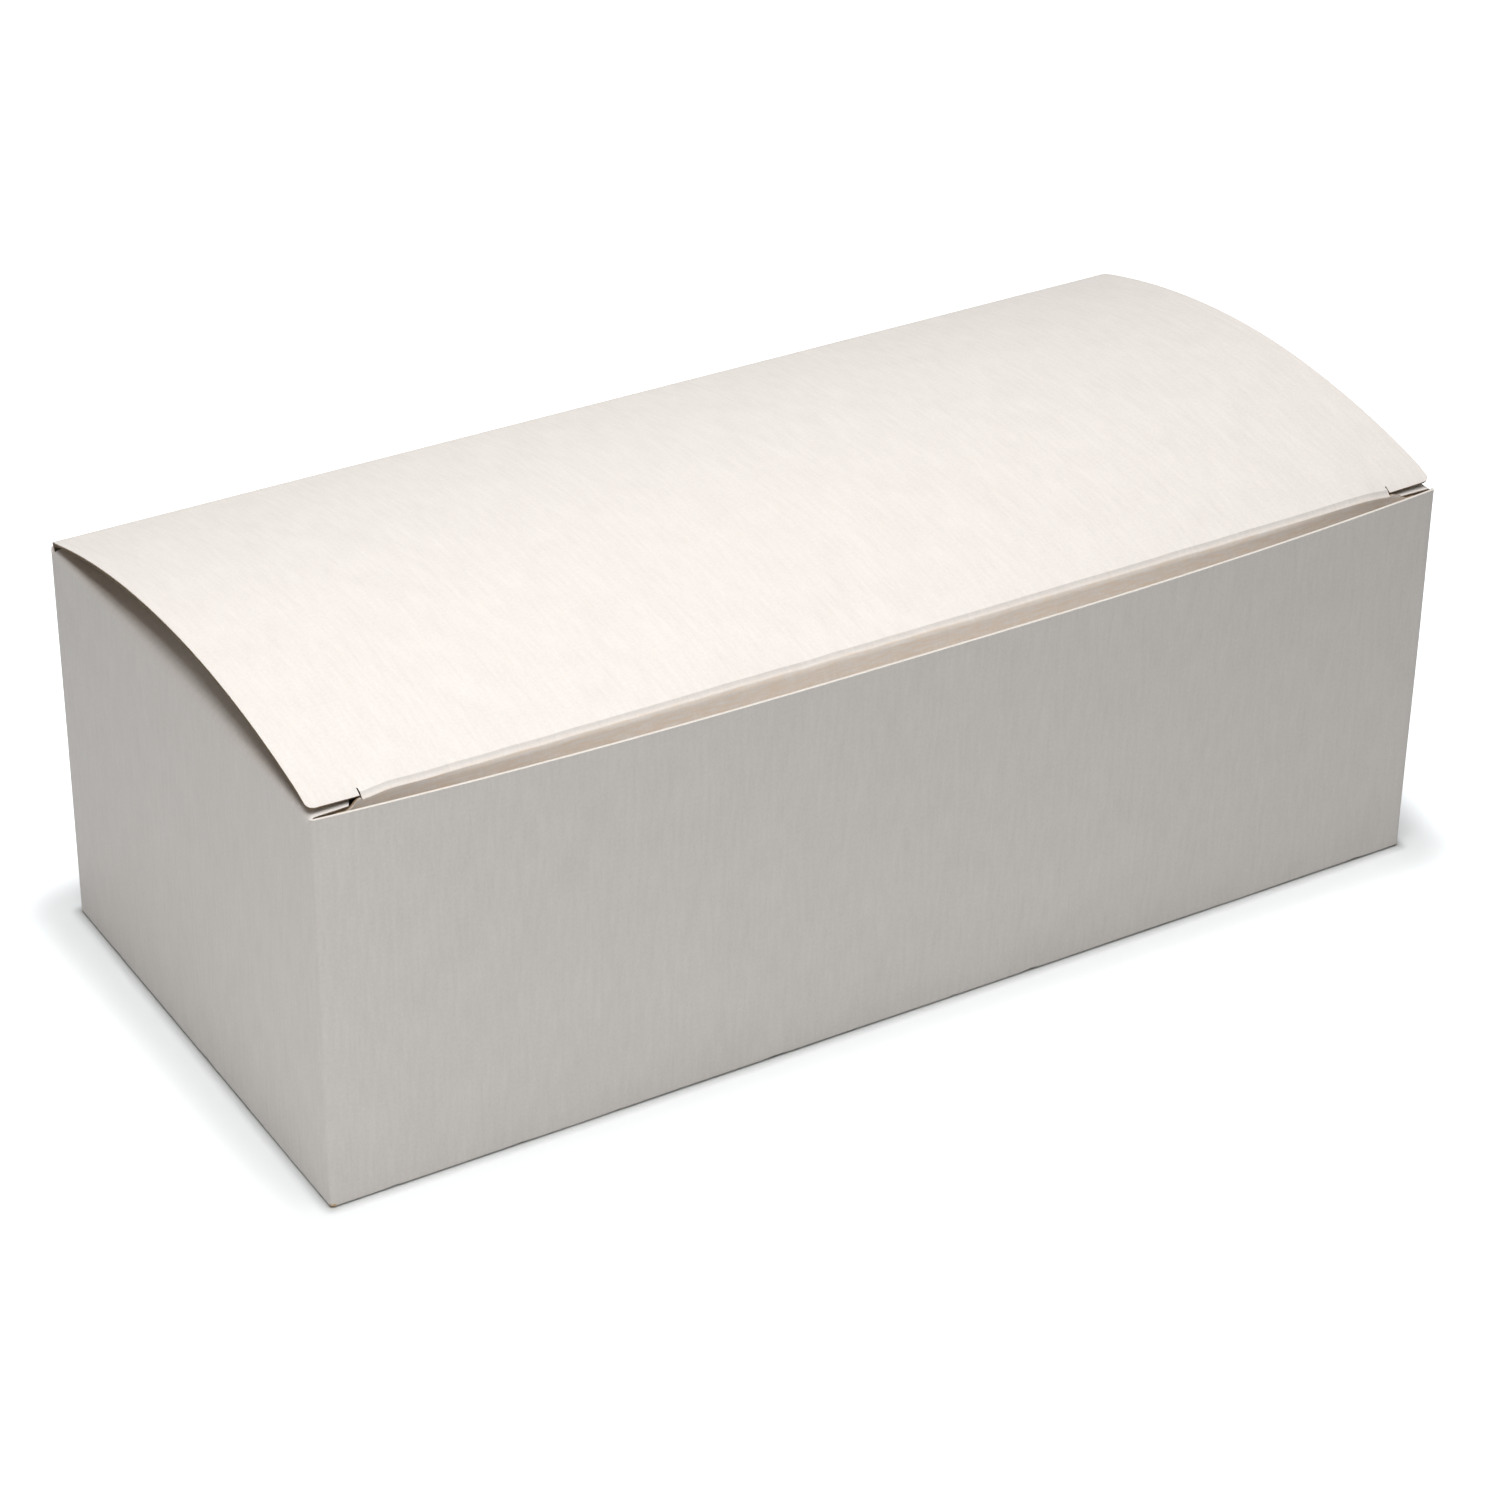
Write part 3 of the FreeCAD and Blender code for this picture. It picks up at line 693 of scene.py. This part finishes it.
STREAKS, MOTTLE, FINE_GRAIN = (1500, 150, 400), (170, 110, 100), (2600, 1900, 900)
STRANDS = (350, 2600, 500)
SPECK_CELLS, SPECK_RADIUS, SPECK_CHANCE, SPECK_STRENGTH = (60, 60, 0), 0.011, 0.05, 0.85
PULP_FIBRES, PULP_FLECKS = (700, 90, 300), (1400, 900, 500)
RAGGED = (1800, 1800, 2500)
FRAY_GRAIN = 0.8                 # how much the grain breaks up a frayed place
WEAR_ROUGH = 0.5                 # how much wear adds to the grain's roughness
STREAK_RELIEF = 0.6              # streaks' height, as a share of the grain's


class Shading:
    """Node helper for one procedural material."""

    def __init__(self, name):
        self.material = bpy.data.materials.new(name)
        self.material.use_nodes = True
        self.tree = self.material.node_tree
        self.shader = self.tree.nodes["Principled BSDF"]

    def add(self, kind, values=None, **settings):
        """A node with its settings and socket values; a value may be another node's output."""
        node = self.tree.nodes.new("ShaderNode" + kind)
        for key, value in settings.items():
            setattr(node, key, value)
        for key, value in (values or {}).items():
            self.feed(node.inputs[key], value)
        return node

    def feed(self, socket, value):
        """Link an output to a socket, or set its number."""
        if isinstance(value, bpy.types.NodeSocket):
            self.tree.links.new(value, socket)
        else:
            socket.default_value = value

    def surface(self, colour, roughness, specular):
        """Set the shader's colour, roughness and reflection."""
        self.feed(self.shader.inputs["Base Color"], colour)
        self.feed(self.shader.inputs["Roughness"], roughness)
        self.feed(self.shader.inputs["Specular IOR Level"], specular)

    def math(self, operation, *values):
        """A math node's output."""
        node = self.add("Math", dict(enumerate(values)), operation=operation)
        return node.outputs[0]

    def blend(self, first, second, share):
        """Two values together, the first by its share and the second by the rest."""
        return self.math("MULTIPLY_ADD", first, share, self.math("MULTIPLY", second, 1 - share))

    def attribute(self, name, output="Fac"):
        """A value that the mesh holds at each point."""
        return self.add("Attribute", attribute_name=name).outputs[output]

    def blank(self, grain):
        """A place on the flat blank, stretched by a grain."""
        values = {"Vector": self.attribute("blank", "Vector"), "Scale": grain}
        return self.add("Mapping", values).outputs["Vector"]

    def noise(self, grain, detail, roughness):
        """Noise on the blank."""
        values = {"Vector": self.blank(grain), "Scale": 1.0,
                  "Detail": detail, "Roughness": roughness}
        return self.add("TexNoise", values).outputs["Fac"]

    def ramp(self, factor, low, high, first, last):
        """A colour between two, as a factor runs from low to high."""
        node = self.add("ValToRGB", {"Fac": factor})
        ends = node.color_ramp.elements
        ends[0].position, ends[0].color = low, (*first, 1)
        ends[1].position, ends[1].color = high, (*last, 1)
        return node.outputs["Color"]

    def cover(self, base, colour, factor):
        """A base with a colour laid over it as far as the factor says."""
        values = {"Factor": factor, "A": base, "B": (*colour, 1)}
        return self.add("Mix", values, data_type="RGBA").outputs["Result"]

    def remap(self, value, low, high, start, end):
        """A value moved from one range to another."""
        values = {"Value": value, "From Min": low, "From Max": high, "To Min": start, "To Max": end}
        return self.add("MapRange", values).outputs["Result"]

    def bump(self, height, strength, distance):
        """Relief for the shader's normal."""
        values = {"Height": height, "Strength": strength, "Distance": distance}
        self.feed(self.shader.inputs["Normal"], self.add("Bump", values).outputs["Normal"])


def specks(mat):
    """Where the coating has a dark speck: a dot in a few of a pattern's cells."""
    cells = mat.add("TexVoronoi", {"Vector": mat.blank(SPECK_CELLS), "Scale": 1.0})
    chance = mat.add("SeparateColor", {"Color": cells.outputs["Color"]}).outputs["Red"]
    dot = mat.math("LESS_THAN", cells.outputs["Distance"], SPECK_RADIUS)
    speck = mat.math("MULTIPLY", dot, mat.math("GREATER_THAN", chance, 1 - SPECK_CHANCE))
    return mat.math("MULTIPLY", speck, SPECK_STRENGTH)


def coated_board():
    """Clay-coated face: warm white, with faint upright fibre streaks, mottle and specks; the tuck
    flap gets painted warm bounce light in fibre strands.
    """
    mat = Shading("coated_board")
    wear = mat.attribute("wear")
    streak = mat.noise(STREAKS, detail=3.0, roughness=0.6)
    mottle = mat.noise(MOTTLE, detail=3.0, roughness=0.6)
    grain = mat.noise(FINE_GRAIN, detail=2.0, roughness=0.6)
    fibre = mat.blend(grain, streak, share=0.5)
    tone = mat.blend(fibre, mottle, share=0.76)
    tint = mat.ramp(tone, low=0.34, high=0.66, first=COAT_DARK, last=COAT_PALE)

    # Painted warm bounce light: the tuck flap tinted warmer and darker in sideways fibre strands,
    # standing for light bounced off the front wall's raw inner side.
    strands = mat.noise(STRANDS, detail=3.0, roughness=0.65)
    strand_share = mat.remap(strands, low=0.36, high=0.64, start=0.0, end=0.85)
    tint = mat.cover(tint, BOUNCE_TINT, mat.math("MULTIPLY", mat.attribute("bounce_tint_share"), strand_share))
    fray = mat.math("MULTIPLY_ADD", grain, FRAY_GRAIN, wear)
    fray = mat.remap(fray, low=0.95, high=1.25, start=0, end=1)
    tint = mat.cover(tint, TORN, fray)
    tint = mat.cover(tint, SPECK, specks(mat))

    rough = mat.math("MULTIPLY_ADD", wear, WEAR_ROUGH, grain)
    rough = mat.remap(rough, low=0.3, high=1.2, start=0.5, end=0.72)
    mat.surface(tint, rough, specular=0.35)
    relief = mat.math("MULTIPLY_ADD", streak, STREAK_RELIEF, grain)
    mat.bump(relief, strength=0.25, distance=0.03 * MM)
    return mat.material


def raw_board():
    """Uncoated inner side: grey-brown recycled pulp with darker and paler fibres."""
    mat = Shading("raw_board")
    fibre = mat.noise(PULP_FIBRES, detail=4.0, roughness=0.65)
    flecks = mat.noise(PULP_FLECKS, detail=3.0, roughness=0.7)
    tone = mat.blend(fibre, flecks, share=0.55)
    tint = mat.ramp(tone, low=0.32, high=0.68, first=PULP_DARK, last=PULP_PALE)
    rough = mat.remap(flecks, low=0.3, high=0.7, start=0.8, end=0.95)
    mat.surface(tint, rough, specular=0.2)
    mat.bump(tone, strength=0.4, distance=0.05 * MM)
    return mat.material


def cut_edge(name, outer, inner):
    """Raw edge where the die cut the board: coating on its outer side, then its layers."""
    mat = Shading(name)
    place = mat.attribute("blank", "Vector")
    depth = mat.add("SeparateXYZ", {"Vector": place}).outputs["Z"]
    ragged = mat.noise(RAGGED, detail=3.0, roughness=0.7)
    torn = mat.remap(ragged, low=0.3, high=0.7, start=-0.22, end=0.22)
    layer = mat.math("ADD", mat.remap(depth, low=0, high=BOARD, start=0, end=1), torn)
    tint = mat.ramp(layer, low=0.05, high=0.45, first=outer, last=inner)
    rough = mat.remap(ragged, low=0.3, high=0.7, start=0.8, end=0.95)
    mat.surface(tint, rough, specular=0.2)
    mat.bump(ragged, strength=0.5, distance=0.06 * MM)
    return mat.material


def dress(piece, materials):
    """Give a piece its three materials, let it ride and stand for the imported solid."""
    for material in materials:
        piece.data.materials.append(material)
    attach(piece, "root")
    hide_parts("carton")


# Stage.

FLOOR_REACH = 4.0
FLOOR_PAPER = (0.79, 0.81, 0.815, 1)
FLOOR_GLOW = (0.95, 0.98, 1.0, 1)

# How strongly the table glows to show as white, by distance from the carton's foot: rising
# straight to GLOW_NEAR at GLOW_STEP, then smoothly to full from GLOW_CLEAR to GLOW_REACH.
# The weaker glow near the foot paints a shadow round the carton, on top of the lamps' own.
GLOW_NEAR = 0.33
GLOW_STEP = 1.6 * MM
GLOW_CLEAR = 3 * MM
GLOW_REACH = 16 * MM

ROOM, ROOM_STRENGTH = (0.94, 0.97, 1.0, 1), 0.01
LAMP_COLOUR = (1.0, 0.99, 0.98)

# The camera's bearing, and its place from the carton's middle: back, right and up.
AZIMUTH, ELEVATION, ROLL = (math.radians(angle) for angle in (-31.275, 31.214, 0.645))
DISTANCE, ASIDE, ABOVE = 0.6124, -0.00012, -0.0069
FOCAL_LENGTH = 101.84
SENSOR = 36


def emitted(tree, surface, plain, white):
    """Make a surface white to the camera and in reflections, but plain to all other light."""
    path = tree.nodes.new("ShaderNodeLightPath")
    seen = path.outputs["Is Camera Ray"]
    for output in ("Is Glossy Ray", "Is Transmission Ray"):
        add = tree.nodes.new("ShaderNodeMath")
        add.operation = "ADD"
        tree.links.new(seen, add.inputs[0])
        tree.links.new(path.outputs[output], add.inputs[1])
        seen = add.outputs[0]
    mix = tree.nodes.new("ShaderNodeMixShader")
    tree.links.new(seen, mix.inputs["Fac"])
    tree.links.new(plain, mix.inputs[1])
    tree.links.new(white, mix.inputs[2])
    tree.links.new(mix.outputs[0], surface)


def off_foot(tree):
    """A place's distance from the carton's foot, in plan."""
    place = tree.nodes.new("ShaderNodeNewGeometry").outputs["Position"]
    middle = (0, (BACK + FRONT) / 2, 0)
    span = (HALF, (BACK - FRONT) / 2, 1)
    steps = [("SUBTRACT", middle), ("ABSOLUTE", None), ("SUBTRACT", span),
             ("MAXIMUM", (0, 0, 0)), ("LENGTH", None)]
    for operation, value in steps:
        node = tree.nodes.new("ShaderNodeVectorMath")
        node.operation = operation
        tree.links.new(place, node.inputs[0])
        if value is not None:
            node.inputs[1].default_value = value
        place = node.outputs["Value" if operation == "LENGTH" else "Vector"]
    return place


def floor_glow(tree):
    """How strongly the table shows as white: weaker near the carton's foot, which paints a soft
    shadow there over the lamps' own, and full further off.
    """
    distance = off_foot(tree)
    total = tree.nodes.new("ShaderNodeMath")
    total.operation = "ADD"
    rises = ((0, GLOW_STEP, GLOW_NEAR, "LINEAR"),
             (GLOW_CLEAR, GLOW_REACH, 1 - GLOW_NEAR, "SMOOTHSTEP"))
    for socket, (low, high, amount, shape) in zip(total.inputs, rises):
        rise = tree.nodes.new("ShaderNodeMapRange")
        rise.interpolation_type = shape
        tree.links.new(distance, rise.inputs["Value"])
        values = {"From Min": low, "From Max": high, "To Min": 0.0, "To Max": amount}
        for key, value in values.items():
            rise.inputs[key].default_value = value
        tree.links.new(rise.outputs["Result"], socket)
    return total.outputs[0]


def add_floor():
    """A wide white table top with the carton's soft shadow from the lamps, deepened near the foot
    by a painted shadow from its weaker glow.
    """
    mesh = bpy.data.meshes.new("floor")
    reach = FLOOR_REACH
    corners = [(-reach, -reach, 0), (reach, -reach, 0), (reach, reach, 0), (-reach, reach, 0)]
    mesh.from_pydata(corners, [], [(0, 1, 2, 3)])
    floor = bpy.data.objects.new("floor", mesh)
    bpy.context.scene.collection.objects.link(floor)
    material = bpy.data.materials.new("floor_paper")
    material.use_nodes = True
    tree = material.node_tree
    tree.nodes.clear()
    output = tree.nodes.new("ShaderNodeOutputMaterial")
    paper = tree.nodes.new("ShaderNodeBsdfDiffuse")
    paper.inputs["Color"].default_value = FLOOR_PAPER
    glow = tree.nodes.new("ShaderNodeEmission")
    glow.inputs["Color"].default_value = FLOOR_GLOW
    tree.links.new(floor_glow(tree), glow.inputs["Strength"])
    both = tree.nodes.new("ShaderNodeAddShader")
    tree.links.new(paper.outputs[0], both.inputs[0])
    tree.links.new(glow.outputs[0], both.inputs[1])
    emitted(tree, output.inputs["Surface"], paper.outputs[0], both.outputs[0])
    mesh.materials.append(material)


def add_world():
    """A dim, slightly cool room that shows as white."""
    world = bpy.data.worlds.new("studio")
    world.use_nodes = True
    bpy.context.scene.world = world
    tree = world.node_tree
    room = tree.nodes["Background"]
    room.inputs["Color"].default_value = ROOM
    room.inputs["Strength"].default_value = ROOM_STRENGTH
    white = tree.nodes.new("ShaderNodeBackground")
    white.inputs["Color"].default_value = (1, 1, 1, 1)
    emitted(tree, tree.nodes["World Output"].inputs["Surface"], room.outputs[0], white.outputs[0])


def add_lamp(name, place, size, power):
    """A square area lamp that faces the middle of the carton."""
    lamp = bpy.data.lights.new(name, "AREA")
    lamp.shape = "SQUARE"
    lamp.size = size
    lamp.energy = power
    lamp.color = LAMP_COLOUR
    panel = bpy.data.objects.new(name, lamp)
    panel.location = place
    aim = Vector((0, 0, TOP / 2)) - panel.location
    panel.rotation_euler = aim.to_track_quat("-Z", "Y").to_euler()
    bpy.context.scene.collection.objects.link(panel)


def add_camera():
    """A long lens that looks down on the carton from its front left."""
    back = Vector((math.sin(AZIMUTH) * math.cos(ELEVATION),
                   -math.cos(AZIMUTH) * math.cos(ELEVATION), math.sin(ELEVATION)))
    right = Vector((math.cos(AZIMUTH), math.sin(AZIMUTH), 0))
    up = back.cross(right)
    middle = Vector((0, (FRONT + BACK) / 2, TOP / 2))
    place = middle + back * DISTANCE + right * ASIDE + up * ABOVE
    across = right * math.cos(ROLL) + up * math.sin(ROLL)
    upward = up * math.cos(ROLL) - right * math.sin(ROLL)
    turn = Matrix((across, upward, back)).transposed()
    data = bpy.data.cameras.new("camera")
    data.sensor_width = SENSOR
    data.lens = FOCAL_LENGTH
    camera = bpy.data.objects.new("camera", data)
    camera.matrix_world = Matrix.Translation(place) @ turn.to_4x4()
    bpy.context.scene.collection.objects.link(camera)
    bpy.context.scene.camera = camera


def add_stage():
    """Floor, room, lamps and camera."""
    add_floor()
    add_world()
    add_lamp("softbox_back", place=(-0.05, 0, 0.45), size=0.35, power=1.10)
    add_lamp("softbox_front", place=(-0.05, -0.15, 0.45), size=0.35, power=1.09)
    add_lamp("side_card", place=(-0.26, -0.10, 0.08), size=0.12, power=0.033)
    add_lamp("corner_card", place=(-0.22, -0.22, 0.06), size=0.15, power=0.040)
    add_camera()
    bpy.context.scene.view_settings.view_transform = "Standard"


def add_carton():
    """All pieces of the carton in their materials."""
    coated = coated_board()
    inner = raw_board()
    # One board's cut edges in two painted copies: shaded on the lid and flaps, lit on the walls.
    brown = cut_edge("cut_edge", *SHADED_EDGE)
    lit_edge = cut_edge("lit_cut_edge", *LIT_EDGE)
    left, right = side_middles()
    dress(add_walls(), (coated, inner, lit_edge))
    others = [
        add_lid(),
        add_dust_flap(-1, left),
        add_dust_flap(1, right),
        add_long_flap("bottom_flap_front", FRONT, -1),
        add_long_flap("bottom_flap_back", BACK, 1),
        add_side_flap(-1),
        add_side_flap(1),
    ]
    for piece in others:
        dress(piece, (coated, inner, brown))


add_carton()
add_stage()
